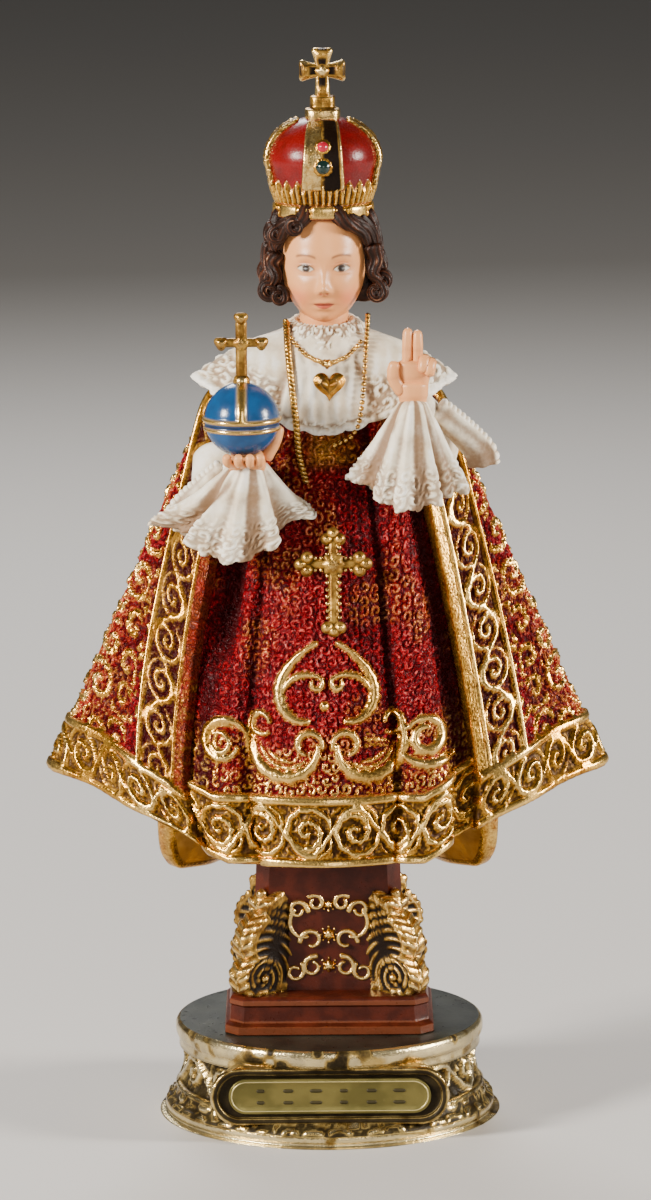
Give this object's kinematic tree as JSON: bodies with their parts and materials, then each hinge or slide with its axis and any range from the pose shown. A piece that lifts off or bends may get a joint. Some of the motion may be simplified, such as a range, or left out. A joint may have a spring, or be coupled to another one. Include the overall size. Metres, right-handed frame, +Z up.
{
  "type": "infant of prague statue",
  "caption": "Painted resin statuette of a crowned child in a wide brocade robe, one hand raised, the other holding an orb, on a moulded pedestal and round base.",
  "frame": {"origin": "centre of the base's underside", "axes": "+Z up, -Y towards the statuette's front, +X to the viewer's right"},
  "size_m": [0.1077, 0.0655, 0.2085],
  "materials": {
    "antique_gold": "resin painted antique gold, dark wash in the recesses",
    "plate_brass": "satin, slightly green",
    "brown_paint": "resin painted wood-brown, gloss, gilt consoles",
    "robe_paint": "resin painted red, gold, ivory, flesh and brown, gloss, antiqued",
    "blue_paint": "resin painted gloss blue with gilt bands",
    "crown_paint": "resin painted gloss red with gilt rim and arches"
  },
  "bodies": {
    "root": {"base": "antique_gold", "name_plate": "plate_brass", "pedestal": "brown_paint", "figure": "robe_paint", "orb": "blue_paint", "crown": "crown_paint"}
  },
  "joints": []
}
